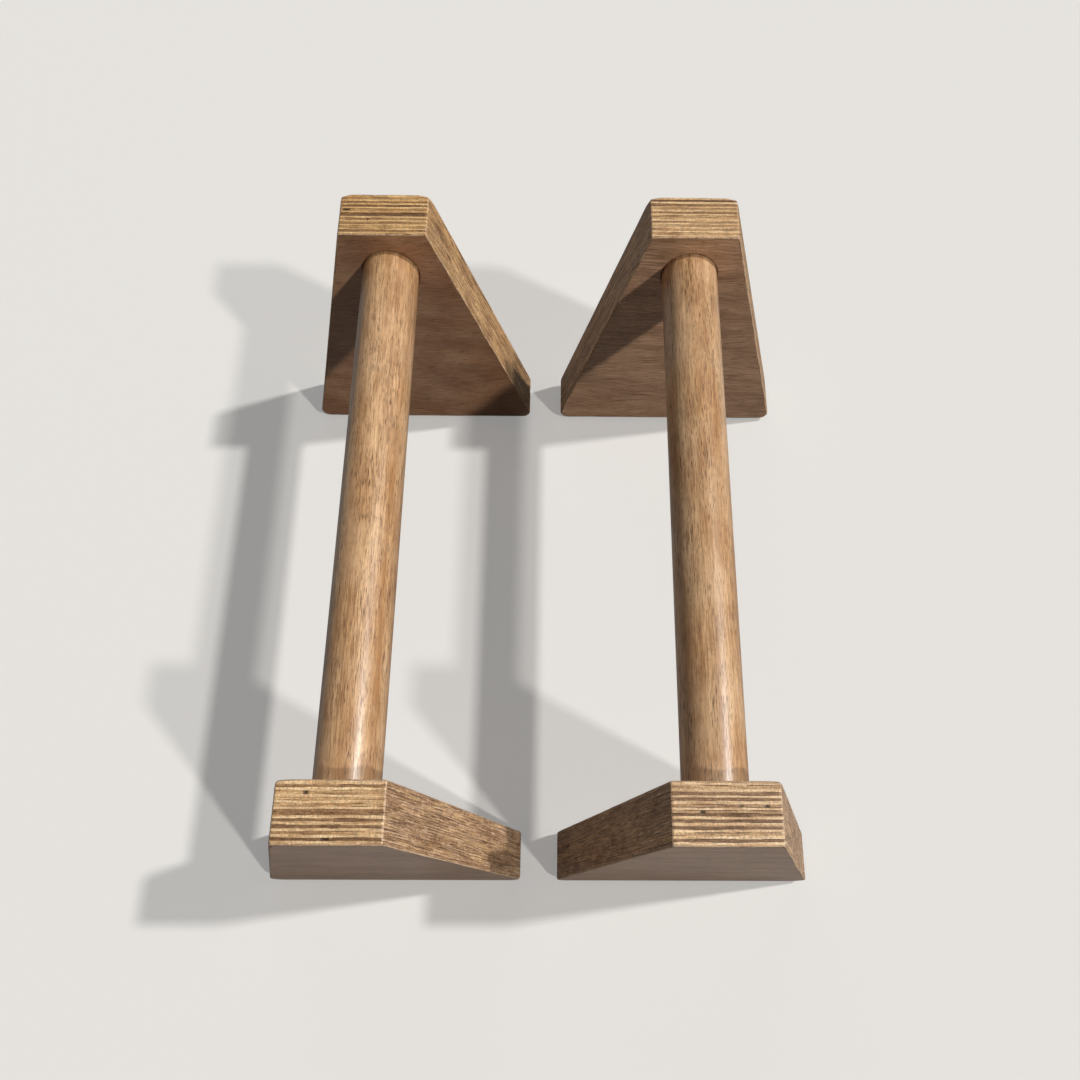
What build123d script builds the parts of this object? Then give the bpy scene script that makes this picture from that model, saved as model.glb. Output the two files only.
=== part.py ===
from build123d import *
import math
import os

# A pair of parallettes: two low parallel bars for floor training.
# Each stand is a round hardwood grip bar whose ends are let into two upright trapezoid end plates.
# A plate is two plywood boards glued face to face. The inner board holds the bar's socket, and the
# outer board hides the screw that draws the bar home. Rubber pads under the plates grip the floor.
#
# Frame: the origin is on the floor, midway between the two stands and midway along the bars.
# +X runs across the pair, +Y runs along the bars from front to back, and +Z is up.

# Stands, millimetres
STAND_SPACING = 216.0
CLEAR_LENGTH = 378.0
OVERALL_HEIGHT = 210.0

# Grip bar
BAR_DIAMETER = 40.0
BAR_CENTRE_HEIGHT = 175.0
BAR_END_CHAMFER = 1.0

# End plates, each laminated from two boards
BOARD_THICKNESS = 18.0
PLATE_BASE_WIDTH = 193.0
PLATE_TOP_WIDTH = 61.0
BASE_CORNER_RADIUS = 6.5
TOP_CORNER_RADIUS = 2.0
ARRIS_RADIUS = 1.2

# Blind socket for the bar in the inner board
SOCKET_DEPTH = 12.0
SOCKET_CLEARANCE = 0.3
SOCKET_MOUTH_CHAMFER = 0.6
GLUE_GAP = 0.5

# Countersunk wood screw, through the socket's web into the bar's end grain
SCREW_LENGTH = 50.0
SCREW_HEAD_RADIUS = 5.0
SCREW_HEAD_RIM = 0.3
SCREW_HEAD_SINK = 0.2
SCREW_SHANK_RADIUS = 1.9
SCREW_CREST_RADIUS = 2.5
SCREW_ROOT_RADIUS = 1.7
SCREW_THREAD_START = 14.0
SCREW_THREAD_PITCH = 2.5
SCREW_TIP_LENGTH = 6.0
SCREW_HOLE_RADIUS = 2.8
COUNTERSINK_EASE = 0.1
PILOT_RADIUS = 1.75
PILOT_DEPTH = 46.0
RECESS_LENGTH = 5.0
RECESS_WIDTH = 1.1
RECESS_DEPTH = 2.2

# Rubber pads
PAD_LENGTH = 40.0
PAD_WIDTH = 30.0
PAD_THICKNESS = 2.0
PAD_CORNER_RADIUS = 4.0
PAD_END_INSET = 10.0
PAD_EDGE_CHAMFER = 0.4

# Worked out from the sizes above
bar_radius = BAR_DIAMETER / 2
bar_length = CLEAR_LENGTH + 2 * (SOCKET_DEPTH - GLUE_GAP)
plate_height = OVERALL_HEIGHT - PAD_THICKNESS
plate_slope = math.degrees(math.atan2(plate_height, (PLATE_BASE_WIDTH - PLATE_TOP_WIDTH) / 2))
inner_face_y = CLEAR_LENGTH / 2
glue_face_y = inner_face_y + BOARD_THICKNESS
pad_offset_x = PLATE_BASE_WIDTH / 2 - PAD_END_INSET - PAD_LENGTH / 2
countersink_radius = SCREW_HEAD_RADIUS + SCREW_HEAD_SINK + SCREW_HEAD_RIM + COUNTERSINK_EASE

STANDS = {"left": -STAND_SPACING / 2, "right": STAND_SPACING / 2}
ENDS = {"front": -1, "back": 1}


def outward_axis(end):
    """Axis along the bar, from the middle of the stand towards the given end."""
    return Axis((0, 0, 0), (0, end, 0))


def board_plane(stand_x, end, distance):
    """Upright plane at the foot of a plate, facing outward, at a distance from the stand's middle."""
    return Plane(origin=(stand_x, end * distance, PAD_THICKNESS), x_dir=(-end, 0, 0), z_dir=(0, end, 0))


def drilling_plane(stand_x, y, facing):
    """Plane on the bar's axis at y, facing the drill."""
    return Plane(origin=(stand_x, y, BAR_CENTRE_HEIGHT), x_dir=(1, 0, 0), z_dir=(0, facing, 0))


def make_inner_board(stand_x, end):
    """Board on the bar's side: blind socket, screw hole and countersink."""
    with BuildPart() as inner_board:
        with BuildSketch(board_plane(stand_x, end, inner_face_y)) as outline:
            Trapezoid(PLATE_BASE_WIDTH, plate_height, plate_slope, align=(Align.CENTER, Align.MIN))
            fillet(outline.vertices().group_by(Axis.Y)[0], BASE_CORNER_RADIUS)
            fillet(outline.vertices().group_by(Axis.Y)[-1], TOP_CORNER_RADIUS)
        extrude(amount=BOARD_THICKNESS)
        bar_side = inner_board.faces().sort_by(outward_axis(end))[0]
        fillet(bar_side.outer_wire().edges(), ARRIS_RADIUS)
        with Locations(drilling_plane(stand_x, end * inner_face_y, -end)):
            CounterBoreHole(SCREW_HOLE_RADIUS, bar_radius + SOCKET_CLEARANCE, SOCKET_DEPTH)
        with Locations(drilling_plane(stand_x, end * glue_face_y, end)):
            CounterSinkHole(SCREW_HOLE_RADIUS, countersink_radius, counter_sink_angle=90)
        socket_edges = inner_board.edges().filter_by(GeomType.CIRCLE).group_by(SortBy.RADIUS)[-1]
        chamfer(socket_edges.sort_by(outward_axis(end))[0], SOCKET_MOUTH_CHAMFER)
    return inner_board


def make_outer_board(stand_x, end):
    """Plain board on the outside of the plate, which covers the screw head."""
    with BuildPart() as outer_board:
        with BuildSketch(board_plane(stand_x, end, glue_face_y)) as outline:
            Trapezoid(PLATE_BASE_WIDTH, plate_height, plate_slope, align=(Align.CENTER, Align.MIN))
            fillet(outline.vertices().group_by(Axis.Y)[0], BASE_CORNER_RADIUS)
            fillet(outline.vertices().group_by(Axis.Y)[-1], TOP_CORNER_RADIUS)
        extrude(amount=BOARD_THICKNESS)
        outside = outer_board.faces().sort_by(outward_axis(end))[-1]
        fillet(outside.outer_wire().edges(), ARRIS_RADIUS)
    return outer_board


def make_grip_bar(stand_x):
    """Round bar with eased ends and a pilot hole in each end."""
    with BuildPart() as grip_bar:
        with BuildSketch(drilling_plane(stand_x, -bar_length / 2, 1)):
            Circle(bar_radius)
        extrude(amount=bar_length)
        chamfer(grip_bar.edges().filter_by(GeomType.CIRCLE), BAR_END_CHAMFER)
        for end in ENDS.values():
            with Locations(drilling_plane(stand_x, end * bar_length / 2, end)):
                Hole(PILOT_RADIUS, PILOT_DEPTH)
    return grip_bar


def make_bar_screw(stand_x, end):
    """Countersunk wood screw, head outward, with its thread as a row of sharp rings."""
    head_y = end * (glue_face_y - SCREW_HEAD_SINK)
    cone_end = SCREW_HEAD_RIM + SCREW_HEAD_RADIUS - SCREW_SHANK_RADIUS
    thread_length = SCREW_LENGTH - SCREW_TIP_LENGTH - SCREW_THREAD_START
    profile = [
        (0, 0),
        (SCREW_HEAD_RADIUS, 0),
        (SCREW_HEAD_RADIUS, SCREW_HEAD_RIM),
        (SCREW_SHANK_RADIUS, cone_end),
        (SCREW_SHANK_RADIUS, SCREW_THREAD_START),
    ]
    for ring in range(int(thread_length / SCREW_THREAD_PITCH)):
        ring_start = SCREW_THREAD_START + ring * SCREW_THREAD_PITCH
        profile.append((SCREW_ROOT_RADIUS, ring_start + SCREW_THREAD_PITCH * 0.35))
        profile.append((SCREW_CREST_RADIUS, ring_start + SCREW_THREAD_PITCH * 0.65))
        profile.append((SCREW_ROOT_RADIUS, ring_start + SCREW_THREAD_PITCH))
    profile.append((0, SCREW_LENGTH))
    with BuildPart() as bar_screw:
        origin = (stand_x, head_y, BAR_CENTRE_HEIGHT)
        with BuildSketch(Plane(origin=origin, x_dir=(1, 0, 0), z_dir=(0, 0, -end))):
            with BuildLine():
                Polyline(*profile, close=True)
            make_face()
        revolve(axis=Axis(origin, (0, 1, 0)))
        with BuildSketch(drilling_plane(stand_x, head_y, end)):
            Rectangle(RECESS_LENGTH, RECESS_WIDTH)
            Rectangle(RECESS_WIDTH, RECESS_LENGTH)
        extrude(amount=-RECESS_DEPTH, mode=Mode.SUBTRACT)
    return bar_screw


def make_pad(centre_x, end):
    """Flat rubber pad stuck under one foot of a plate."""
    with BuildPart() as pad:
        with BuildSketch(Plane(origin=(centre_x, end * glue_face_y, 0))):
            RectangleRounded(PAD_LENGTH, PAD_WIDTH, PAD_CORNER_RADIUS)
        extrude(amount=PAD_THICKNESS)
        chamfer(pad.faces().sort_by(Axis.Z)[0].edges(), PAD_EDGE_CHAMFER)
    return pad


def save(builder, name):
    """Label a finished piece and write its STEP file."""
    builder.part.label = name
    export_step(builder.part, f"parts/{name}.step")


os.makedirs("parts", exist_ok=True)

for stand, stand_x in STANDS.items():
    outboard = math.copysign(1, stand_x)
    save(make_grip_bar(stand_x), f"{stand}_grip_bar")
    for end_name, end in ENDS.items():
        plate = f"{stand}_{end_name}"
        save(make_inner_board(stand_x, end), f"{plate}_inner_board")
        save(make_outer_board(stand_x, end), f"{plate}_outer_board")
        save(make_bar_screw(stand_x, end), f"{plate}_bar_screw")
        save(make_pad(stand_x + outboard * pad_offset_x, end), f"{plate}_outboard_pad")
        save(make_pad(stand_x - outboard * pad_offset_x, end), f"{plate}_inboard_pad")
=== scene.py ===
import math
from collections import namedtuple

import bpy
import numpy as np
from mathutils import Matrix, Vector, noise


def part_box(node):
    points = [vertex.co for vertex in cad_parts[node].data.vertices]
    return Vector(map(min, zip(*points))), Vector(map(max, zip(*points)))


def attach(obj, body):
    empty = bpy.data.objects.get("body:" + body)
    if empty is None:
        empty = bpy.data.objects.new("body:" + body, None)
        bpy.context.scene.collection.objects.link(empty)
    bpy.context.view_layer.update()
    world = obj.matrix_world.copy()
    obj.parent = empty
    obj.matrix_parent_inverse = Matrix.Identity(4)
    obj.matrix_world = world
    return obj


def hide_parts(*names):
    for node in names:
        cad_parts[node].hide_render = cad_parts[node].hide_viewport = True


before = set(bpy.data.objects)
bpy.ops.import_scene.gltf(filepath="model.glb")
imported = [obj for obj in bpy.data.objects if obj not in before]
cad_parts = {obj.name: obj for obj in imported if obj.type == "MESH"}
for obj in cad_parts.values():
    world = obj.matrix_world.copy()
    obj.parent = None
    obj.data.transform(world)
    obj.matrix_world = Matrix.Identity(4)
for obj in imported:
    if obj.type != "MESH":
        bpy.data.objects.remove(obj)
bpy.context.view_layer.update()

MM = 0.001
STANDS = ("left", "right")
ENDS = {"front": -1, "back": 1}

# ---------------------------------------------------------------------------------------------
# Sizes that the frame's boxes don't give, in millimetres, as in the CAD source
# ---------------------------------------------------------------------------------------------
BASE_WIDTH = 193.0
TOP_WIDTH = 61.0
BASE_CORNER_RADIUS = 6.5
TOP_CORNER_RADIUS = 2.0
ARRIS_RADIUS = 1.2
GLUE_EDGE_EASE = 0.25
SOCKET_RADIUS = 20.3
SOCKET_DEPTH = 12.0
SOCKET_MOUTH_CHAMFER = 0.6
SCREW_HOLE_RADIUS = 2.8
COUNTERSINK_RADIUS = 5.6
PILOT_RADIUS = 1.75
PILOT_DEPTH = 46.0
BAR_END_CHAMFER = 1.0
PAD_CORNER_RADIUS = 4.0
PAD_EDGE_CHAMFER = 0.4


def node_box(node):
    """A CAD node's lowest and highest corner in millimetres."""
    low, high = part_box(node)
    return np.array(low) / MM, np.array(high) / MM


# ---------------------------------------------------------------------------------------------
# Helpers for numbers and meshes
# ---------------------------------------------------------------------------------------------
# Name of the texture layout that each board carries. The exporter keeps a texture layout of
# this name, and makes its own for a piece without one
LAYOUT_NAME = "OFBake"


def ease(x):
    """Smooth step from 0 to 1."""
    x = min(max(x, 0.0), 1.0)
    return x * x * (3 - 2 * x)


def wobble(*place):
    """Smooth noise from about -1 to 1, at a place in noise cells.

    Callers add odd multiples of a ply's number and a piece's seed, so that no two are alike.
    """
    return noise.noise(Vector(place))


def add_object(name, data):
    """Puts a mesh, light or camera in the scene."""
    made = bpy.data.objects.new(name, data)
    bpy.context.scene.collection.objects.link(made)
    return made


def make_mesh(name, points, faces, values=None, layout=None, smooth=True):
    """Mesh object from points in millimetres. values holds its point attributes by name."""
    mesh = bpy.data.meshes.new(name)
    mesh.from_pydata((np.asarray(points) * MM).tolist(), [], faces)
    if layout is not None:
        mesh.uv_layers.new(name=LAYOUT_NAME).data.foreach_set("uv", layout.astype(np.float32).ravel())
    mesh.validate()
    for key, numbers in (values or {}).items():
        attribute = mesh.attributes.new(key, "FLOAT", "POINT")
        attribute.data.foreach_set("value", np.asarray(numbers, np.float32))
    mesh.polygons.foreach_set("use_smooth", [smooth] * len(mesh.polygons))
    mesh.update()
    return add_object(name, mesh)


def ring_faces(start_a, start_b, count):
    """Quads between two closed loops of the same number of points."""
    return [
        (start_a + i, start_a + (i + 1) % count, start_b + (i + 1) % count, start_b + i)
        for i in range(count)
    ]


def tube_faces(loop_count, count):
    """Quads between each loop of points and the next, all of count points."""
    faces = []
    for i in range(loop_count - 1):
        faces += ring_faces(i * count, (i + 1) * count, count)
    return faces


def patch(boundary, steps_u, steps_v):
    """Fills a closed loop of four sides with a grid.

    Returns the points inside it, and faces that number the loop's points first and then these.
    """
    count = len(boundary)
    bottom = [boundary[i] for i in range(steps_u + 1)]
    right = [boundary[steps_u + j] for j in range(steps_v + 1)]
    top = [boundary[(2 * steps_u + steps_v - i) % count] for i in range(steps_u + 1)]
    left = [boundary[(count - j) % count] for j in range(steps_v + 1)]
    index, inner = {}, []
    for i in range(steps_u + 1):
        index[i, 0] = i
        index[i, steps_v] = (2 * steps_u + steps_v - i) % count
    for j in range(steps_v + 1):
        index[steps_u, j] = steps_u + j
        index[0, j] = (count - j) % count
    for j in range(1, steps_v):
        for i in range(1, steps_u):
            u, v = i / steps_u, j / steps_v
            ruled_v = bottom[i] * (1 - v) + top[i] * v
            ruled_u = left[j] * (1 - u) + right[j] * u
            corner = (
                bottom[0] * (1 - u) * (1 - v)
                + bottom[-1] * u * (1 - v)
                + top[0] * (1 - u) * v
                + top[-1] * u * v
            )
            index[i, j] = count + len(inner)
            inner.append(ruled_v + ruled_u - corner)
    faces = [
        (index[i, j], index[i + 1, j], index[i + 1, j + 1], index[i, j + 1])
        for j in range(steps_v)
        for i in range(steps_u)
    ]
    return np.array(inner), faces


def close_loop(points, faces, start, outline, flip):
    """Closes the loop of points that begins at start with a grid, and returns all the points."""
    count = outline.size
    inner, grid = patch(points[start:start + count], outline.side_steps[0], outline.side_steps[1])
    offset = len(points) - count
    for face in grid:
        face = tuple(start + k if k < count else offset + k for k in face)
        faces.append(face[::-1] if flip else face)
    return np.concatenate([points, inner])


# ---------------------------------------------------------------------------------------------
# Outlines with rounded corners
# ---------------------------------------------------------------------------------------------
# Quads round half of a corner's arc, and how far along a side its mitre dies away
ARC_STEPS = 6
MITRE_REACH = 4.0

# The most of a corner's radius that an inset uses up, so that the corner's points stay apart
ROUND_SHARE = 0.9


def turned(start, end, share):
    """Direction that is a share of the way round from start to end."""
    start = start.normalized()
    turn = start.angle_signed(end.normalized()) * -share
    return Vector((
        start.x * math.cos(turn) - start.y * math.sin(turn),
        start.x * math.sin(turn) + start.y * math.cos(turn),
    ))


class Outline:
    """Closed rounded outline: points, outward normals, the side each is on, and the run along it.

    A side takes half of the arc at each of its ends. A point's mitre is the way it moves when both
    sides that meet at its corner move out by one.
    """

    def __init__(self, corners, radii, steps):
        """corners run anticlockwise. steps is how many quads each side has between its arcs."""
        count = len(corners)
        ways = [(Vector(corners[(i + 1) % count]) - Vector(corners[i])).normalized() for i in range(count)]
        outs = [Vector((way.y, -way.x)) for way in ways]
        mitres = [(outs[i - 1] + outs[i]) / (1 + outs[i - 1].dot(outs[i])) for i in range(count)]
        centres = [Vector(corners[i]) - mitres[i] * radii[i] for i in range(count)]
        rows = []
        for i in range(count):
            j = (i + 1) % count
            for step in range(ARC_STEPS):
                share = step / ARC_STEPS
                normal = turned(mitres[i], outs[i], share)
                rows.append((centres[i] + normal * radii[i], normal, mitres[i], i, radii[i], 1 - share))
            first = centres[i] + outs[i] * radii[i]
            last = centres[j] + outs[i] * radii[j]
            for step in range(steps[i]):
                share = step / steps[i]
                near = i if share < 0.5 else j
                away = min(share, 1 - share) * (last - first).length
                mitre = mitres[near].lerp(outs[i], ease(away / MITRE_REACH))
                rows.append((first.lerp(last, share), outs[i], mitre, i, radii[near], 0.0))
            for step in range(ARC_STEPS):
                share = step / ARC_STEPS
                normal = turned(outs[i], mitres[j], share)
                rows.append((centres[j] + normal * radii[j], normal, mitres[j], i, radii[j], share))
        columns = [np.array(column) for column in zip(*rows)]
        self.points, self.normals, self.mitres, self.sides, self.radii, self.on_corner = columns
        self.gaps = np.linalg.norm(np.roll(self.points, -1, 0) - self.points, axis=1)
        self.run = np.concatenate([[0.0], np.cumsum(self.gaps)[:-1]])
        self.size = len(self.points)
        self.side_steps = [side_steps + 2 * ARC_STEPS for side_steps in steps]

    def inset(self, distance):
        """Points moved inwards, each by its own distance."""
        rounded = np.minimum(distance, ROUND_SHARE * self.radii)[:, None]
        return self.points - self.normals * rounded - self.mitres * (distance[:, None] - rounded)


# ---------------------------------------------------------------------------------------------
# Boards
# ---------------------------------------------------------------------------------------------
# Quads along the straight part of a plate's level and sloping sides
LEVEL_STEPS = 56
SLOPE_STEPS = 64

# Rings of quads from the rim to the socket, closest together near both
FACE_RINGS = 14
FACE_RING_POWER = 0.8

# Plies are counted from 0 at the glue line. Even plies are the dark ones, with end grain. The first
# and last have thicknesses of their own, and the rest share what is left, unevenly.
PLY_COUNT = 11
GLUE_PLY = 1.6
FACE_PLY = 0.9
PLY_UNEVEN = 0.3

# The share of a ply at each of its boundaries that has no relief
PLY_JOINT = 0.05

# Where the rows of points lie in a ply, as shares of it. The face ply's rows follow the arris.
GLUE_PLY_ROWS = (0.0, 0.12, 0.5, 0.9)
MIDDLE_PLY_ROWS = (0.1, 0.5, 0.9)
FACE_PLY_ROWS = (0.0, 0.2, 0.4, 0.58, 0.74, 0.87, 0.96, 1.0)

# How far the ply lines wander, and the lengths over which they do
PLY_WAVER = 0.2
SLOW_WAVER_LENGTH = 28.0
QUICK_WAVER_LENGTH = 7.0
QUICK_WAVER_SHARE = 0.4

# Relief of the sawn edge: dark plies lie lower, with a core gap where slow noise is over VOID_START
PLY_RECESS = 0.07
PLY_RECESS_UNEVEN = 0.6
PALE_PLY_GRIT = 0.015
GRIT_LENGTH = 2.3
VOID_DEPTH = 0.5
VOID_LENGTH = 9.0
VOID_START = 0.64
VOID_FADE = 0.08

# Wear of the arrises, and a pale line of wear and painted highlight down the upright edges at corners with a
# small radius
ARRIS_UNEVEN = 0.35
ARRIS_WEAR_LENGTH = 19.0
CORNER_WEAR_REACH = 8.0
SHARP_CORNER = 3.0
SHARP_CORNER_WEAR_AND_HIGHLIGHT = 0.5

# Where the parts of a board lie in its texture layout, as low and high corners in the unit square.
# The rim comes first, by side of the outline: bottom, right slope, top, left slope.
RIM_PATCHES = [
    ((0.01, 0.33), (0.70, 0.47)),
    ((0.01, 0.01), (0.99, 0.15)),
    ((0.74, 0.33), (0.99, 0.47)),
    ((0.01, 0.17), (0.99, 0.31)),
]
FACE_PATCH = ((0.01, 0.49), (0.74, 0.99))
HOLE_PATCH = ((0.76, 0.49), (0.99, 0.60))
GLUE_PATCH = ((0.76, 0.62), (0.99, 0.99))

# A board's pattern seed, its paleness and warmth from 0 to 1, and how many millimetres rounder its
# arris is worn at the corners: top left, top right, base left and base right
Look = namedtuple("Look", "seed shade warmth corner_wear")


def ply_rows():
    """Where the rows of points lie through a board, in plies from the glue line."""
    rows = list(GLUE_PLY_ROWS)
    for ply in range(1, PLY_COUNT - 1):
        rows += [ply + share for share in MIDDLE_PLY_ROWS]
    return rows + [PLY_COUNT - 1 + share for share in FACE_PLY_ROWS]


def ply_edges(outline, thickness, seed):
    """How far each ply boundary lies from the glue line, at every point of the outline."""
    middle = (thickness - GLUE_PLY - FACE_PLY) / (PLY_COUNT - 2)
    sizes = [GLUE_PLY] + [middle] * (PLY_COUNT - 2) + [FACE_PLY]
    for ply in range(1, PLY_COUNT - 1):
        sizes[ply] *= 1 + PLY_UNEVEN * wobble(ply * 3.7, seed * 1.9, 0.5)
    edges = np.cumsum([0.0] + sizes)
    edges *= thickness / edges[-1]
    waver = np.zeros((PLY_COUNT + 1, outline.size))
    for ply in range(1, PLY_COUNT):
        for i, (x, z) in enumerate(outline.points):
            slow = wobble(x / SLOW_WAVER_LENGTH, z / SLOW_WAVER_LENGTH, ply * 5.3 + seed)
            quick = wobble(x / QUICK_WAVER_LENGTH, z / QUICK_WAVER_LENGTH, ply * 2.1 - seed)
            waver[ply, i] = PLY_WAVER * (slow + QUICK_WAVER_SHARE * quick)
    return edges[:, None] + waver


def arris_radii(outline, look):
    """Radius of the eased arris at every point of the outline: uneven, and rounder at worn corners."""
    places = outline.points / ARRIS_WEAR_LENGTH
    uneven = np.array([wobble(x, z, look.seed * 2.7) for x, z in places])
    radii = ARRIS_RADIUS * (1 + ARRIS_UNEVEN * uneven)
    low_z, high_z = outline.points[:, 1].min(), outline.points[:, 1].max()
    corners = [
        (-TOP_WIDTH / 2, high_z), (TOP_WIDTH / 2, high_z),
        (-BASE_WIDTH / 2, low_z), (BASE_WIDTH / 2, low_z),
    ]
    for corner, wear in zip(corners, look.corner_wear):
        middle = outline.points[np.argmin(np.linalg.norm(outline.points - corner, axis=1))]
        away = np.linalg.norm(outline.points - middle, axis=1)
        radii += wear * np.array([ease(1 - gap / CORNER_WEAR_REACH) for gap in away])
    return radii


def ply_relief(outline, row, seed):
    """How far a row of points is set in by its ply's roughness, and how much is open as a core gap."""
    relief, void = np.zeros(outline.size), np.zeros(outline.size)
    ply = int(row)
    if ply >= PLY_COUNT - 1 or not PLY_JOINT < row - ply < 1 - PLY_JOINT:
        return relief, void
    for i, (x, z) in enumerate(outline.points):
        grit = wobble(x / GRIT_LENGTH, z / GRIT_LENGTH, row * 3.1 + seed)
        if ply % 2:
            relief[i] = PALE_PLY_GRIT * grit
        else:
            pit = wobble(x / VOID_LENGTH, z / VOID_LENGTH, ply * 7.7 + seed * 5)
            void[i] = ease((pit - VOID_START) / VOID_FADE)
            relief[i] = PLY_RECESS * (1 + PLY_RECESS_UNEVEN * grit) + VOID_DEPTH * void[i]
    return relief, void


def board_rim(outline, thickness, look):
    """Rows of points up the sawn edge of a board, and lists of their attributes, a row at a time."""
    edges = ply_edges(outline, thickness, look.seed)
    radii = arris_radii(outline, look)
    # Pale line down the upright edges of sharp corners: wear and a painted highlight together
    corner_wear = SHARP_CORNER_WEAR_AND_HIGHLIGHT * outline.on_corner * (outline.radii < SHARP_CORNER)
    plies = np.arange(PLY_COUNT + 1)
    rim, values = [], {"ply": [], "wear": [], "void": []}
    for row in ply_rows():
        depth = np.array([np.interp(row, plies, edges[:, i]) for i in range(outline.size)])
        over = np.clip(depth - (thickness - radii), 0, radii)
        arris = radii - np.sqrt(np.maximum(radii**2 - over**2, 0))
        glue_edge = np.clip(GLUE_EDGE_EASE - depth, 0, None)
        relief, void = ply_relief(outline, row, look.seed)
        rim.append(np.column_stack([outline.inset(arris + glue_edge + relief), depth]))
        values["ply"].append(np.full(outline.size, row))
        values["wear"].append(np.maximum(over / radii, corner_wear))
        values["void"].append(void)
    return rim, values


def board_values(outline, rim_values, look, total):
    """All point attributes of a board of total points, whose first points are its rim."""
    values = {"ply": np.full(total, float(PLY_COUNT)), "wear": np.zeros(total), "void": np.zeros(total)}
    for key, rows in rim_values.items():
        values[key][:len(rows) * outline.size] = np.concatenate(rows)
    values["run"] = np.resize(outline.run, total)
    values["slanted"] = np.resize((outline.sides % 2).astype(float), total)
    for key in ("seed", "shade", "warmth"):
        values[key] = np.full(total, getattr(look, key))
    return values


def board_outline(low_z, high_z):
    """Outline of a plate in its own plane, anticlockwise from the middle of its lower left corner."""
    half_base, half_top = BASE_WIDTH / 2, TOP_WIDTH / 2
    corners = [(-half_base, low_z), (half_base, low_z), (half_top, high_z), (-half_top, high_z)]
    radii = [BASE_CORNER_RADIUS, BASE_CORNER_RADIUS, TOP_CORNER_RADIUS, TOP_CORNER_RADIUS]
    return Outline(corners, radii, [LEVEL_STEPS, SLOPE_STEPS, LEVEL_STEPS, SLOPE_STEPS])


def socket_profile(thickness):
    """Radius and depth of each loop down the socket and through the countersunk screw hole."""
    socket_floor = thickness - SOCKET_DEPTH
    sink_depth = COUNTERSINK_RADIUS - SCREW_HOLE_RADIUS
    return [
        (SOCKET_RADIUS + SOCKET_MOUTH_CHAMFER, thickness),
        (SOCKET_RADIUS, thickness - SOCKET_MOUTH_CHAMFER),
        (SOCKET_RADIUS, (thickness + socket_floor) / 2),
        (SOCKET_RADIUS, socket_floor),
        (SCREW_HOLE_RADIUS, socket_floor),
        (SCREW_HOLE_RADIUS, sink_depth),
        (COUNTERSINK_RADIUS, 0.0),
    ]


def hole_loop(outline, centre, radius, depth):
    """Round loop with one point for each point of the outline, in the same direction from the centre."""
    ways = outline.points - np.array(centre)
    ways /= np.linalg.norm(ways, axis=1)[:, None]
    return np.column_stack([np.array(centre) + ways * radius, np.full(outline.size, depth)])


def socket_loops(outline, rim, centre, profile):
    """Loops of points over the face, down through the hole, and back over the glue side."""
    holes = [hole_loop(outline, centre, radius, depth) for radius, depth in profile]
    shares = [ease(ring / FACE_RINGS) ** FACE_RING_POWER for ring in range(1, FACE_RINGS)]
    over_face = [rim[-1] + (holes[0] - rim[-1]) * share for share in shares]
    glue_rings = FACE_RINGS // 2
    over_glue = [holes[-1] + (rim[0] - holes[-1]) * ring / glue_rings for ring in range(1, glue_rings)]
    return over_face + holes + over_glue


def place_board(points, stand_x, glue_y, outward):
    """From the board's plane (across, up, out from the glue line) to the frame."""
    return np.column_stack([points[:, 0] + stand_x, glue_y + outward * points[:, 2], points[:, 1]])


def fitted(corners, low_high):
    """Scales layout points so that their extremes fill one part of the unit square."""
    low, high = np.array(low_high)
    flat = corners.reshape(-1, 2)
    return low + (corners - flat.min(0)) / np.ptp(flat, axis=0) * (high - low)


def unrolled(outline, rows):
    """Layout of the quads between loops of points: distance along the outline, and row."""
    begin, end = outline.run, outline.run + outline.gaps
    strips = []
    for low, high in zip(rows, rows[1:]):
        corners = [(begin, low), (end, low), (end, high), (begin, high)]
        quads = [np.column_stack([u, np.full(outline.size, v)]) for u, v in corners]
        strips.append(np.stack(quads, axis=1))
    return np.concatenate(strips)


def lay_out_board(outline, points, faces, face_count, hole_rows):
    """Texture layout of a board's faces: rim by side, face, socket and screw hole, then glue side."""
    flat = points[np.array(faces)][:, :, [1, 0]]
    layout = np.empty_like(flat)
    rim = unrolled(outline, ply_rows())
    side = np.tile(outline.sides, len(ply_rows()) - 1)
    for i, rim_patch in enumerate(RIM_PATCHES):
        layout[:len(rim)][side == i] = fitted(rim[side == i], rim_patch)
    start, end = len(rim), len(rim) + face_count
    layout[start:end] = fitted(flat[start:end], FACE_PATCH)
    if hole_rows:
        hole = unrolled(outline, range(hole_rows))
        start, end = end, end + len(hole)
        layout[start:end] = fitted(hole, HOLE_PATCH)
    layout[end:] = fitted(flat[end:], GLUE_PATCH)
    return layout


def build_board(name, outline, thickness, stand_x, glue_y, outward, look, socket_centre=None):
    """One plywood board, solid or with a socket. outward is +1 or -1 along Y, away from the glue line."""
    rim, rim_values = board_rim(outline, thickness, look)
    count = outline.size
    profile = [] if socket_centre is None else socket_profile(thickness)
    loops = rim + (socket_loops(outline, rim, socket_centre, profile) if profile else [])
    points = np.concatenate(loops)
    faces = tube_faces(len(loops), count)
    if profile:
        faces += ring_faces((len(loops) - 1) * count, 0, count)
        face_count = FACE_RINGS * count
    else:
        points = close_loop(points, faces, (len(rim) - 1) * count, outline, flip=False)
        points = close_loop(points, faces, 0, outline, flip=True)
        face_count = outline.side_steps[0] * outline.side_steps[1]
    layout = lay_out_board(outline, points, faces, face_count, len(profile))
    if outward > 0:
        faces = [face[::-1] for face in faces]
        layout = layout[:, ::-1]
    placed = place_board(points, stand_x, glue_y, outward)
    piece = make_mesh(name, placed, faces, board_values(outline, rim_values, look, len(points)), layout)
    is_veneer = np.arange(len(faces)) >= (len(rim) - 1) * count
    piece.data.polygons.foreach_set("material_index", is_veneer.astype(np.int32))
    return piece


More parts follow.
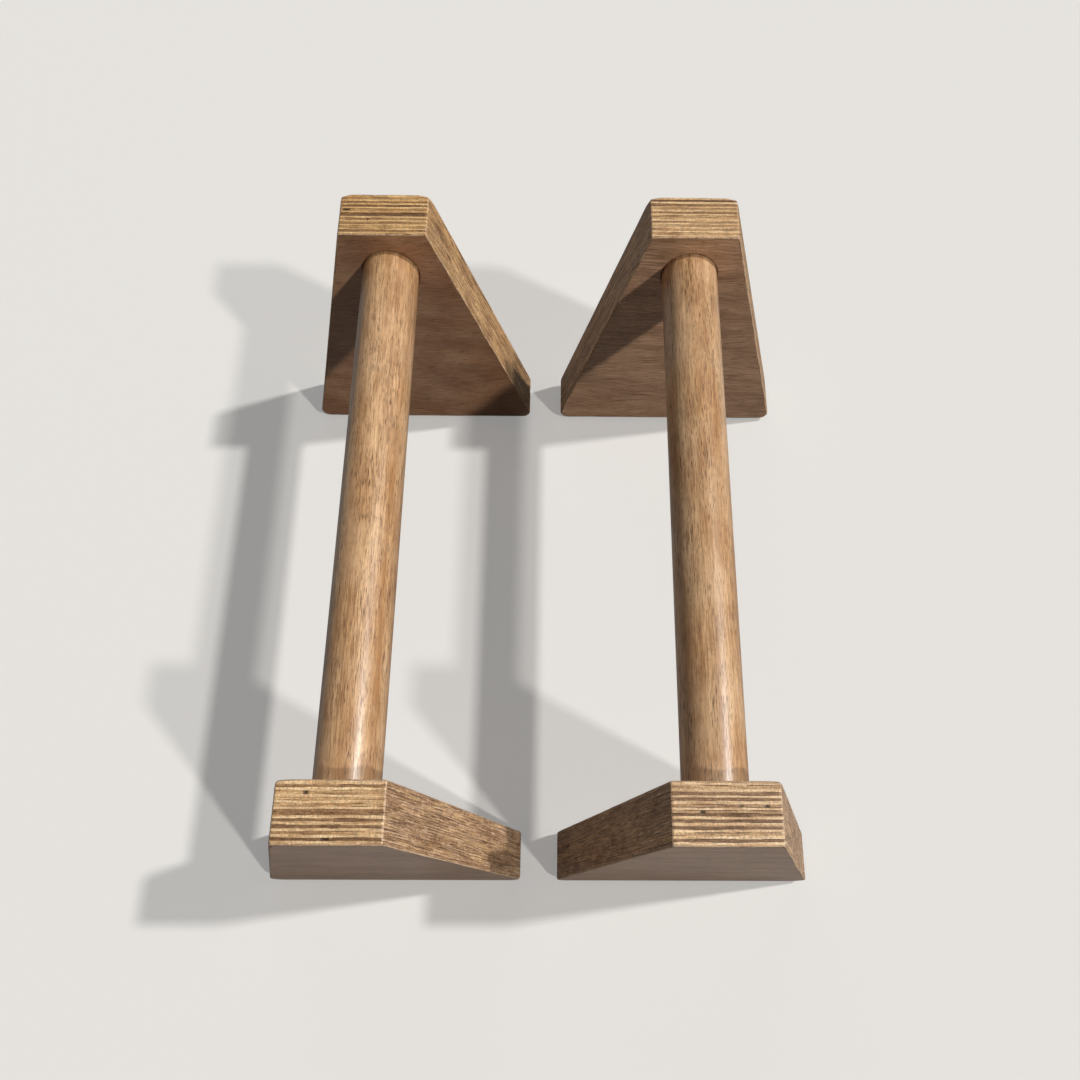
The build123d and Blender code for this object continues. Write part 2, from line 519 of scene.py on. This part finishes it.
# ---------------------------------------------------------------------------------------------
# Grip bar
# ---------------------------------------------------------------------------------------------
BAR_SEGMENTS = 128
BAR_ROW_LENGTH = 3.0
BAR_WAVER = 0.03
BAR_WAVER_LENGTH = 40.0
BAR_WAVERS_ACROSS = 2


def bar_profile(radius, low_y, high_y):
    """Radius and Y of each loop along the bar, from the bottom of one pilot hole to the other's."""
    start, end = low_y + BAR_END_CHAMFER, high_y - BAR_END_CHAMFER
    row_count = round((end - start) / BAR_ROW_LENGTH)
    end_radius = radius - BAR_END_CHAMFER
    near_end = [(PILOT_RADIUS, low_y + PILOT_DEPTH), (PILOT_RADIUS, low_y), (end_radius, low_y)]
    length = [(radius, start + (end - start) * i / row_count) for i in range(row_count + 1)]
    far_end = [(end_radius, high_y), (PILOT_RADIUS, high_y), (PILOT_RADIUS, high_y - PILOT_DEPTH)]
    return near_end + length + far_end


def build_grip_bar(name, stand_x, centre_z, radius, ends_y, seed):
    """Turned bar with eased ends and a pilot hole in each end."""
    profile = bar_profile(radius, *ends_y)
    points = []
    for ring_radius, y in profile:
        for i in range(BAR_SEGMENTS):
            angle = 2 * math.pi * i / BAR_SEGMENTS
            across, up = math.cos(angle), math.sin(angle)
            reach = ring_radius
            if ring_radius == radius:
                place = (across * BAR_WAVERS_ACROSS, y / BAR_WAVER_LENGTH, up * BAR_WAVERS_ACROSS + seed)
                reach -= BAR_WAVER * abs(wobble(*place))
            points.append((stand_x + across * reach, y, centre_z + up * reach))
    faces = tube_faces(len(profile), BAR_SEGMENTS)
    faces.append(tuple(reversed(range(BAR_SEGMENTS))))
    faces.append(tuple(range((len(profile) - 1) * BAR_SEGMENTS, len(profile) * BAR_SEGMENTS)))
    faces = [face[::-1] for face in faces]
    return make_mesh(name, points, faces, {"seed": np.full(len(points), seed)})


# ---------------------------------------------------------------------------------------------
# Rubber pads
# ---------------------------------------------------------------------------------------------
PAD_GRID_X = 80
PAD_GRID_Y = 60

# The underside has grooves between its ribs, inside a plain margin. A groove's flat bottom and its
# flank are shares of half a pitch.
PAD_PLAIN_MARGIN = 2.0
RIB_PITCH = 3.0
RIB_DEPTH = 0.4
GROOVE_SHARE = 0.25
FLANK_SHARE = 0.2
RIB_FADE = 1.0


def rib_height(across, margin):
    """How far the underside rises from the floor. margin is how far in it is from the plain margin."""
    wave = abs((across / RIB_PITCH) % 1 - 0.5) * 2
    return RIB_DEPTH * (1 - ease((wave - GROOVE_SHARE) / FLANK_SHARE)) * ease(margin / RIB_FADE)


def build_pad(name, low, high):
    """Pad with rounded corners, an eased lower edge and a ribbed underside."""
    corners = [(low[0], low[1]), (high[0], low[1]), (high[0], high[1]), (low[0], high[1])]
    steps = [PAD_GRID_X - 2 * ARC_STEPS, PAD_GRID_Y - 2 * ARC_STEPS] * 2
    outline = Outline(corners, [PAD_CORNER_RADIUS] * 4, steps)
    levels = [(PAD_EDGE_CHAMFER, low[2]), (0.0, low[2] + PAD_EDGE_CHAMFER), (0.0, high[2])]
    loops = []
    for inset, z in levels:
        loops.append(np.column_stack([outline.points - outline.normals * inset, np.full(outline.size, z)]))
    points = np.concatenate(loops)
    faces = tube_faces(len(loops), outline.size)
    points = close_loop(points, faces, (len(loops) - 1) * outline.size, outline, flip=False)
    upper_count = len(points)
    points = close_loop(points, faces, 0, outline, flip=True)
    middle_x = (low[0] + high[0]) / 2
    for point in points[upper_count:]:
        margin = min(point[0] - low[0], high[0] - point[0], point[1] - low[1], high[1] - point[1])
        point[2] += rib_height(point[0] - middle_x, margin - PAD_PLAIN_MARGIN)
    return make_mesh(name, points, faces, smooth=False)


# ---------------------------------------------------------------------------------------------
# Materials
# ---------------------------------------------------------------------------------------------
# Refraction of the coats of varnish. The veneer's and the bar's are lower than a real varnish has,
# which keeps their sheen to glancing views.
EDGE_COAT_IOR = 1.5
VENEER_COAT_IOR = 1.3
BAR_COAT_IOR = 1.42

# How far one step of the seed, or all of a ply's tone, moves the pattern on to another place
PLY_SHIFT = 90.0
VENEER_SHIFT = 41.0
BAR_SHIFT = 17.0

# Pale and dark plies meet in a ragged line: how sharply they meet, and how ragged they are
PLY_SHARPNESS = 2.4
PLY_RAGGEDNESS = 2.4
PLY_MEETING = 0.8

# The floor glows for the camera, and by this share in the object's varnish, but lights nothing
FLOOR_GLOW = 0.32
FLOOR_GLOSSY_SHARE = 0.22


def colour(red, green, blue):
    """A screen colour of 0 to 255 a channel as linear light, by the sRGB curve."""
    def linear(level):
        level /= 255
        return level / 12.92 if level <= 0.04045 else ((level + 0.055) / 1.055) ** 2.4
    return (linear(red), linear(green), linear(blue), 1.0)


class Nodes:
    """Short calls for adding nodes to a tree."""

    def __init__(self, tree):
        self.tree = tree

    def node(self, kind, **settings):
        """Adds one node."""
        made = self.tree.nodes.new(kind)
        for key, value in settings.items():
            setattr(made, key, value)
        return made

    def put(self, value, socket):
        """Links an input to an output, or sets it to a value."""
        if isinstance(value, bpy.types.NodeSocket):
            self.tree.links.new(value, socket)
        else:
            socket.default_value = value

    def put_all(self, values, sockets):
        """Fills the first of the sockets, in their order."""
        for value, socket in zip(values, sockets):
            self.put(value, socket)

    def math(self, operation, *values):
        """One sum on numbers."""
        made = self.node("ShaderNodeMath", operation=operation)
        self.put_all(values, made.inputs)
        return made.outputs[0]

    def enlarged(self, vector, scale):
        """A vector times a number."""
        made = self.node("ShaderNodeVectorMath", operation="SCALE")
        self.put(vector, made.inputs[0])
        self.put(scale, made.inputs["Scale"])
        return made.outputs["Vector"]

    def vector(self, x, y, z):
        """The vector with these three parts."""
        made = self.node("ShaderNodeCombineXYZ")
        self.put_all((x, y, z), made.inputs)
        return made.outputs[0]

    def parts(self, vector):
        """X, Y and Z of a vector."""
        made = self.node("ShaderNodeSeparateXYZ")
        self.put(vector, made.inputs[0])
        return made.outputs

    def span(self, value, low, high, to_low=0.0, to_high=1.0):
        """Maps low..high to to_low..to_high, held at both ends."""
        made = self.node("ShaderNodeMapRange")
        self.put_all((value, low, high, to_low, to_high), made.inputs)
        return made.outputs["Result"]

    def blend(self, share, a, b):
        """From number a to number b."""
        made = self.node("ShaderNodeMix", data_type="FLOAT")
        self.put_all((share, a, b), [socket for socket in made.inputs if socket.type == "VALUE"])
        return [socket for socket in made.outputs if socket.type == "VALUE"][0]

    def mix(self, share, a, b, blend="MIX"):
        """From colour a to colour b, or to both blended."""
        made = self.node("ShaderNodeMix", data_type="RGBA", blend_type=blend)
        self.put(share, made.inputs["Factor"])
        self.put_all((a, b), [socket for socket in made.inputs if socket.type == "RGBA"])
        return [socket for socket in made.outputs if socket.type == "RGBA"][0]


class Shader(Nodes):
    """One procedural material. Its place, x, y and z are in millimetres in the shared frame."""

    def __init__(self, name):
        self.material = bpy.data.materials.new(name)
        self.material.use_nodes = True
        super().__init__(self.material.node_tree)
        self.tree.nodes.clear()
        self.surface = self.node("ShaderNodeBsdfPrincipled")
        output = self.node("ShaderNodeOutputMaterial")
        self.put(self.surface.outputs["BSDF"], output.inputs["Surface"])
        self.place = self.enlarged(self.node("ShaderNodeTexCoord").outputs["Object"], 1 / MM)
        self.x, self.y, self.z = self.parts(self.place)

    def attribute(self, name):
        """A point attribute of the piece, by its name in make_mesh's values."""
        return self.node("ShaderNodeAttribute", attribute_name=name).outputs["Fac"]

    def noise(self, vector, detail=2.0, roughness=0.5):
        """Smooth noise from 0 to 1, mostly near a half, in cells of size 1."""
        made = self.node("ShaderNodeTexNoise")
        self.put(vector, made.inputs["Vector"])
        for name, value in (("Scale", 1.0), ("Detail", detail), ("Roughness", roughness)):
            made.inputs[name].default_value = value
        return made.outputs[0]

    def cells(self, x, y, z, detail=2.0, roughness=0.5):
        """Noise in three coordinates, each a value alone or with the length of one noise cell."""
        over = [self.math("DIVIDE", *part) if isinstance(part, tuple) else part for part in (x, y, z)]
        return self.noise(self.vector(*over), detail, roughness)

    def random(self, a, b):
        """An even random number from 0 to 1 for each pair of numbers."""
        made = self.node("ShaderNodeTexWhiteNoise", noise_dimensions="2D")
        self.put(self.vector(a, b, 0.0), made.inputs["Vector"])
        return made.outputs["Value"]

    def layered(self, base, *layers):
        """Lays colours over base. A layer has a value, where it starts and is full, a share and a colour."""
        for value, start, full, share, top in layers:
            base = self.mix(self.span(value, start, full, 0.0, share), base, colour(*top))
        return base

    def bump(self, height, strength, distance):
        """Normal for a height, whose full distance is in millimetres."""
        made = self.node("ShaderNodeBump")
        made.inputs["Strength"].default_value = strength
        made.inputs["Distance"].default_value = distance * MM
        self.put(height, made.inputs["Height"])
        return made.outputs["Normal"]

    def finish(self, base, roughness, normal=None, coat=None, metallic=0.0):
        """Sets the surface. coat is the varnish's weight, roughness and IOR."""
        values = {"Base Color": base, "Roughness": roughness, "Metallic": metallic}
        if normal is not None:
            values["Normal"] = normal
        if coat is not None:
            values["Coat Weight"], values["Coat Roughness"], values["Coat IOR"] = coat
        for name, value in values.items():
            self.put(value, self.surface.inputs[name])
        return self.material


def ply_edge_material():
    """Sawn and varnished plywood edge: pale and dark plies, glue lines, pores, stain, arrises worn pale with
    a painted highlight, and core gaps painted dark as shade.
    """
    s = Shader("plywood_edge")
    ply, run, seed = s.attribute("ply"), s.attribute("run"), s.attribute("seed")
    slanted, wear, void = s.attribute("slanted"), s.attribute("wear"), s.attribute("void")
    tone = s.random(s.math("FLOOR", ply), seed)
    shift = s.math("MULTIPLY", tone, PLY_SHIFT)

    def grain(length, per_ply, detail=3.0, roughness=0.6):
        """Noise in the edge's own plane: length along the edge in mm, and cells to a ply across it."""
        return s.cells((run, length), s.math("MULTIPLY", ply, per_ply), shift, detail, roughness)

    streak, fibre, hair = grain(24.0, 1.5, 4.0), grain(16.0, 2.4), grain(45.0, 3.6, 1.0)
    flecks, speckle, mottle = grain(7.0, 1.5), grain(2.8, 1.7, 3.0, 0.65), grain(1.0, 1.2, 2.0)
    grit = grain(0.7, 3.0, 2.0)
    patches = s.cells((run, 32.0), s.math("MULTIPLY", ply, 0.3), seed, 3.0, 0.6)
    drift = s.cells((run, 34.0), shift, seed, 3.0, 0.6)

    # On the level sides pale plies have their grain along the edge, and dark plies show end grain
    pale_top = s.layered(
        s.mix(s.span(streak, 0.36, 0.62), colour(204, 162, 114), colour(252, 224, 182)),
        (fibre, 0.53, 0.68, 0.6, (156, 114, 72)),
        (flecks, 0.56, 0.7, 0.7, (252, 230, 194)),
    )
    dark_top = s.layered(
        s.mix(s.span(speckle, 0.34, 0.66), colour(112, 78, 50), colour(184, 146, 106)),
        (tone, 0.35, 0.05, 0.6, (70, 44, 24)),
        (flecks, 0.55, 0.7, 0.6, (196, 156, 114)),
    )
    weak = s.span(s.math("MULTIPLY_ADD", tone, 0.9, drift), 0.85, 1.15, 0.0, 0.95)
    weak_top = s.mix(s.span(streak, 0.36, 0.62), colour(168, 128, 84), colour(228, 194, 148))
    dark_top = s.mix(weak, dark_top, weak_top)
    wave = s.math("MULTIPLY", s.math("SINE", s.math("MULTIPLY", ply, math.pi)), PLY_SHARPNESS)
    ragged = s.math("MULTIPLY_ADD", s.math("SUBTRACT", speckle, 0.5), PLY_RAGGEDNESS, wave)
    pale = s.span(ragged, PLY_MEETING, -PLY_MEETING)
    top = s.mix(pale, dark_top, pale_top)

    # On the slopes both are cut across, so they are close in tone, mottled and streaked
    side = s.layered(
        s.mix(s.span(speckle, 0.34, 0.66), colour(138, 104, 76), colour(220, 184, 146)),
        (tone, 0.2, 0.9, 0.5, (166, 128, 94)),
        (patches, 0.52, 0.62, 0.6, (234, 196, 146)),
        (patches, 0.45, 0.37, 0.35, (136, 104, 76)),
        (streak, 0.52, 0.62, 0.75, (236, 204, 170)),
        (fibre, 0.55, 0.66, 0.7, (100, 70, 46)),
        (flecks, 0.56, 0.66, 0.8, (244, 218, 188)),
        (hair, 0.58, 0.65, 0.8, (78, 50, 30)),
    )

    # The board's own tint and paleness, which is never low on a slope
    tint = s.mix(s.attribute("warmth"), colour(252, 251, 255), colour(255, 242, 212))
    shade = s.attribute("shade")
    shade = s.blend(slanted, shade, s.math("MAXIMUM", shade, 0.65))
    base = s.mix(slanted, top, side)
    for factor in (s.span(mottle, 0.34, 0.66, 0.66, 1.26), tint, s.span(shade, 0.0, 1.0, 0.86, 1.08)):
        base = s.mix(1.0, base, factor, blend="MULTIPLY")
    base = s.layered(base, (grit, 0.4, 0.3, 0.4, (70, 46, 28)))

    # Dark glue lines at the ply boundaries, broken along their length
    border = s.math("ROUND", ply)
    nearest = s.math("ABSOLUTE", s.math("SUBTRACT", ply, border))
    broken = s.cells((run, 18.0), s.math("MULTIPLY", border, 7.3), seed, 3.0)
    line = s.math("MULTIPLY", s.span(nearest, 0.17, 0.06), s.span(broken, 0.48, 0.56))
    base = s.mix(s.math("MULTIPLY", line, 0.8), base, colour(62, 38, 22))

    # Handled darker here and there, worn pale with a painted highlight on the arrises, and painted dark as
    # shade in the open core gaps
    handled = s.cells((run, 26.0), s.math("MULTIPLY", ply, 0.12), seed, 4.0, 0.65)
    base = s.mix(s.span(handled, 0.5, 0.66, 0.0, 0.5), base, colour(166, 134, 106), blend="MULTIPLY")
    # The pale arris line is partly wear and partly a painted highlight, broken up by scuffs
    scuffed = s.cells((run, 3.0), ply, seed, 4.0, 0.65)
    on_arris = s.math("MULTIPLY", s.span(wear, 0.25, 0.5), s.span(wear, 1.0, 0.8, 0.3, 1.0))
    wear_and_highlight = s.math("MULTIPLY", on_arris, s.span(scuffed, 0.42, 0.56, 0.1, 0.75))
    base = s.mix(wear_and_highlight, base, colour(222, 193, 164))
    # Core gaps painted near black: painted shade in the hollows
    base = s.mix(s.math("MULTIPLY", void, 0.9), base, colour(46, 28, 16))

    height = s.math("ADD", s.math("MULTIPLY", speckle, 0.8), s.math("MULTIPLY", grit, 0.6))
    height = s.math("SUBTRACT", height, s.math("MULTIPLY", line, 0.8))
    rough = s.blend(pale, 0.55, s.span(streak, 0.3, 0.7, 0.36, 0.5))
    return s.finish(base, rough, s.bump(height, 0.7, 0.25), coat=(0.1, 0.3, EDGE_COAT_IOR))


def face_veneer_material():
    """Stained face veneer with its grain level across the plate."""
    s = Shader("face_veneer")
    shift = s.math("MULTIPLY", s.attribute("seed"), VENEER_SHIFT)
    bend = s.cells((s.x, 90.0), (s.z, 60.0), shift)
    level = s.math("MULTIPLY_ADD", bend, 22.0, s.z)

    def grain(length, width, detail=3.0, roughness=0.6):
        """Noise drawn out across the plate, by the length and width of a cell in mm."""
        return s.cells((s.x, length), (level, width), shift, detail, roughness)

    figure, fibre = grain(120.0, 10.0, 4.0), grain(24.0, 1.2, 4.0, 0.65)
    pores, flecks, hairs = grain(9.0, 0.9, 2.0), grain(14.0, 1.1), grain(14.0, 0.42, 2.0)
    cloud = s.cells((s.x, 45.0), (s.z, 26.0), shift, 3.0, 0.55)
    base = s.layered(
        # The palest end is partly a painted sheen on the right front outer board
        s.mix(s.attribute("shade"), colour(174, 120, 80), colour(244, 200, 162)),
        (figure, 0.38, 0.62, 0.6, (148, 101, 69)),
        (fibre, 0.36, 0.62, 0.75, (134, 91, 61)),
        (cloud, 0.4, 0.66, 0.35, (232, 190, 152)),
        (flecks, 0.54, 0.7, 0.4, (226, 184, 146)),
        (pores, 0.56, 0.68, 0.6, (96, 62, 42)),
        (hairs, 0.57, 0.7, 0.75, (76, 46, 30)),
    )
    height = s.math("SUBTRACT", s.math("MULTIPLY", fibre, 0.5), s.math("MULTIPLY", pores, 0.6))
    rough = s.span(fibre, 0.3, 0.7, 0.4, 0.52)
    return s.finish(base, rough, s.bump(height, 0.5, 0.2), coat=(0.8, 0.3, VENEER_COAT_IOR))


def hardwood_material():
    """Open-pored varnished hardwood with its grain along Y."""
    s = Shader("grip_bar_hardwood")
    shift = s.math("MULTIPLY", s.attribute("seed"), BAR_SHIFT)
    x, z = s.math("ADD", s.x, shift), s.math("SUBTRACT", s.z, shift)

    def grain(width, length, detail=3.0, roughness=0.6):
        """Noise drawn out along the bar, by the width and length of a cell in mm."""
        return s.cells((x, width), (s.y, length), (z, width), detail, roughness)

    figure, ribbon, fibre = grain(9.0, 170.0, 4.0), grain(3.2, 60.0), grain(0.9, 17.0)
    pores, small_pores = grain(0.42, 8.0, 1.0), grain(0.38, 5.0, 1.0)
    crowd, cloud, smoke = grain(11.0, 60.0), grain(24.0, 45.0), grain(9.0, 18.0, 4.0)
    base = s.layered(
        s.mix(s.span(figure, 0.34, 0.66), colour(186, 136, 87), colour(236, 195, 149)),
        (ribbon, 0.42, 0.62, 0.4, (172, 124, 79)),
        (fibre, 0.42, 0.62, 0.7, (150, 107, 67)),
        (cloud, 0.44, 0.66, 0.4, (240, 204, 164)),
        (smoke, 0.54, 0.68, 0.3, (142, 99, 62)),
    )

    # Pores crowd together in places
    edge = s.span(crowd, 0.38, 0.62, 0.66, 0.55)
    pit = s.span(pores, edge, s.math("ADD", edge, 0.07))
    pit = s.math("MAXIMUM", pit, s.span(small_pores, 0.62, 0.7, 0.0, 0.7))
    base = s.mix(s.math("MULTIPLY", pit, 0.8), base, colour(84, 52, 28))
    height = s.math("SUBTRACT", s.math("MULTIPLY", fibre, 0.25), pit)
    rough = s.span(fibre, 0.3, 0.7, 0.34, 0.44)
    return s.finish(base, rough, s.bump(height, 0.4, 0.15), coat=(1.0, 0.34, BAR_COAT_IOR))


def rubber_material():
    """Matt black rubber, finely stippled and a little dusty."""
    s = Shader("pad_rubber")
    grit = s.noise(s.enlarged(s.place, 1 / 0.35), 3.0, 0.6)
    dust = s.noise(s.enlarged(s.place, 1 / 9.0), 4.0, 0.65)
    base = s.layered(colour(24, 24, 25), (dust, 0.45, 0.75, 0.5, (74, 70, 66)))
    return s.finish(base, s.span(grit, 0.3, 0.7, 0.7, 0.9), s.bump(grit, 0.4, 0.1))


def steel_material():
    """Dull zinc plating with a slight yellow cast."""
    s = Shader("screw_steel")
    turning = s.cells((s.x, 2.0), (s.y, 0.25), (s.z, 2.0), 3.0)
    base = s.mix(s.span(turning, 0.3, 0.7), colour(158, 150, 128), colour(206, 198, 172))
    return s.finish(base, s.span(turning, 0.3, 0.7, 0.28, 0.45), s.bump(turning, 0.2, 0.05), metallic=1.0)


def floor_material():
    """Pale floor that throws little light back up at the object, yet shows in its varnish."""
    s = Shader("pale_floor")
    path = s.node("ShaderNodeLightPath").outputs
    in_varnish = s.math("MULTIPLY", path["Is Glossy Ray"], FLOOR_GLOSSY_SHARE)
    seen = s.math("MAXIMUM", path["Is Camera Ray"], in_varnish)
    s.put(colour(228, 227, 225), s.surface.inputs["Emission Color"])
    s.put(s.math("MULTIPLY", seen, FLOOR_GLOW), s.surface.inputs["Emission Strength"])
    return s.finish(s.mix(seen, colour(84, 83, 81), colour(196, 195, 193)), 0.9)


# ---------------------------------------------------------------------------------------------
# Build the pieces around the frame
# ---------------------------------------------------------------------------------------------
BOARD_LOOKS = {
    "left_front_inner": Look(3.0, 0.75, 0.3, (2.4, 0.3, 0.5, 1.6)),
    "left_front_outer": Look(11.0, 0.6, 0.3, (0.6, 0.1, 2.4, 2.6)),
    "left_back_inner": Look(5.0, 0.1, 0.9, (0.1, 0.1, 0.8, 0.4)),
    "left_back_outer": Look(17.0, 0.2, 1.0, (2.8, 2.6, 1.2, 1.2)),
    "right_front_inner": Look(7.0, 0.8, 0.1, (0.1, 1.8, 0.4, 0.8)),
    # This board is set to full paleness partly as a painted sheen of its glancing varnish
    "right_front_outer": Look(23.0, 1.0, 0.1, (0.1, 0.8, 0.4, 2.4)),
    "right_back_inner": Look(13.0, 0.9, 0.4, (0.1, 0.2, 0.5, 0.4)),
    "right_back_outer": Look(29.0, 0.7, 0.5, (2.4, 2.6, 1.0, 1.2)),
}
BAR_SEEDS = {"left": 2.0, "right": 9.0}

edge_material = ply_edge_material()
veneer_material = face_veneer_material()
bar_material = hardwood_material()
pad_material = rubber_material()
screw_material = steel_material()


def dress(piece, body, node, slot, *materials):
    """Gives a new piece its materials, lets it ride its body, and stands it for its CAD node."""
    for material in materials:
        piece.data.materials.append(material)
    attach(piece, body)
    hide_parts(node)


def add_plate(plate, body, end, stand_x, bar_z):
    """The two boards, two pads and screw at one end of a stand. end is -1 or +1 along Y."""
    low, high = node_box(f"{plate}_inner_board")
    thickness = high[1] - low[1]
    glue_y = high[1] if end > 0 else low[1]
    outline = board_outline(low[2], high[2])
    for layer, outward, socket_centre in (("inner", -end, (0.0, bar_z)), ("outer", end, None)):
        board = build_board(
            f"{plate}_{layer}_plywood", outline, thickness, stand_x, glue_y, outward,
            BOARD_LOOKS[f"{plate}_{layer}"], socket_centre,
        )
        dress(board, body, f"{plate}_{layer}_board", f"{layer}_board_plywood", edge_material, veneer_material)
    for side in ("outboard", "inboard"):
        pad_node = f"{plate}_{side}_pad"
        pad = build_pad(f"{pad_node}_ribbed", *node_box(pad_node))
        dress(pad, body, pad_node, "pad_rubber", pad_material)
    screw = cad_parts[f"{plate}_bar_screw"]
    screw.data.materials.clear()
    screw.data.materials.append(screw_material)


def add_stand(stand):
    """One bar and the plate at each of its ends."""
    body = f"{stand}_parallette"
    node = f"{stand}_grip_bar"
    low, high = node_box(node)
    stand_x, bar_z = (low[0] + high[0]) / 2, (low[2] + high[2]) / 2
    radius = (high[2] - low[2]) / 2
    bar = build_grip_bar(f"{stand}_bar", stand_x, bar_z, radius, (low[1], high[1]), BAR_SEEDS[stand])
    dress(bar, body, node, "grip_bar_hardwood", bar_material)
    for end_name, end in ENDS.items():
        add_plate(f"{stand}_{end_name}", body, end, stand_x, bar_z)


for stand in STANDS:
    add_stand(stand)

# ---------------------------------------------------------------------------------------------
# Floor, light and camera, in metres and degrees
# ---------------------------------------------------------------------------------------------
FLOOR_HALF = 40.0

# Soft light all round, dimmest from the camera's side, from a backdrop that is itself seen pale.
# The two sides are places along Y on a sphere of radius 1.
BACKDROP_TINT = (1.0, 0.99, 0.97, 1.0)
BACKDROP_BRIGHTNESS = 0.8
CAMERA_SIDE, FAR_SIDE = -1.0, 0.2
CAMERA_SIDE_LIGHT, FAR_SIDE_LIGHT = 0.02, 0.1

# Distant lights: which way each lies from the object, its strength, how wide it is, and its tint.
# The key is on the right, the front behind the camera's right shoulder; the others are broad fills.
SUNS = {
    "key": ((0.78, 0.16, 1.0), 2.1, 2.5, (1.0, 0.975, 0.94)),
    "front": ((0.88, -0.66, 1.0), 1.5, 3.0, (1.0, 0.975, 0.94)),
    "fill": ((-1.0, 0.0, 0.5), 0.1, 50.0, (1.0, 0.97, 0.94)),
    "rear": ((-0.1, 1.0, 0.1), 0.5, 60.0, (1.0, 0.98, 0.96)),
}

# The photo is cropped off centre, so the lens is shifted. The sensor is in millimetres.
CAMERA_PLACE = (0.0200, -0.2825, 0.6772)
CAMERA_DOWN = 71.44
CAMERA_HEADING = 1.63
CAMERA_ROLL = 1.83
CAMERA_SENSOR = 36.0
CAMERA_LENS = 28.75
CAMERA_SHIFT = (-0.0313, 0.1208)
CAMERA_CLIP_START = 0.01


def add_floor():
    """One square of floor at height 0."""
    mesh = bpy.data.meshes.new("floor")
    corners = [(x * FLOOR_HALF, y * FLOOR_HALF, 0) for x, y in ((-1, -1), (1, -1), (1, 1), (-1, 1))]
    mesh.from_pydata(corners, [], [(0, 1, 2, 3)])
    mesh.materials.append(floor_material())
    add_object("floor", mesh)


def add_backdrop():
    """World light that depends on its direction, and that the camera sees at one brightness."""
    world = bpy.data.worlds.new("studio")
    world.use_nodes = True
    sky = Nodes(world.node_tree)
    background = world.node_tree.nodes["Background"]
    background.inputs["Color"].default_value = BACKDROP_TINT
    along = sky.parts(sky.node("ShaderNodeTexCoord").outputs["Generated"])["Y"]
    light = sky.span(along, CAMERA_SIDE, FAR_SIDE, CAMERA_SIDE_LIGHT, FAR_SIDE_LIGHT)
    seen = sky.node("ShaderNodeLightPath").outputs["Is Camera Ray"]
    sky.put(sky.blend(seen, light, BACKDROP_BRIGHTNESS), background.inputs["Strength"])
    bpy.context.scene.world = world


def add_suns():
    """The distant lights of SUNS."""
    for name, (way, strength, width, tint) in SUNS.items():
        light = bpy.data.lights.new(name, "SUN")
        light.energy = strength
        light.angle = math.radians(width)
        light.color = tint
        add_object(name, light).rotation_euler = Vector(way).to_track_quat("Z", "Y").to_euler()


def add_camera():
    """Camera at the photo's place, found by fitting the plates' and bars' edges."""
    camera = bpy.data.cameras.new("camera")
    camera.sensor_width = CAMERA_SENSOR
    camera.lens = CAMERA_LENS
    camera.shift_x, camera.shift_y = CAMERA_SHIFT
    camera.clip_start = CAMERA_CLIP_START
    turn = (
        Matrix.Rotation(math.radians(-CAMERA_HEADING), 3, "Z")
        @ Matrix.Rotation(math.radians(90 - CAMERA_DOWN), 3, "X")
        @ Matrix.Rotation(math.radians(CAMERA_ROLL), 3, "Z")
    )
    placed = add_object("camera", camera)
    placed.location = CAMERA_PLACE
    placed.rotation_euler = turn.to_euler()
    bpy.context.scene.camera = placed


add_floor()
add_backdrop()
add_suns()
add_camera()

# Colours come out as set, without the usual film curve
bpy.context.scene.view_settings.view_transform = "Standard"
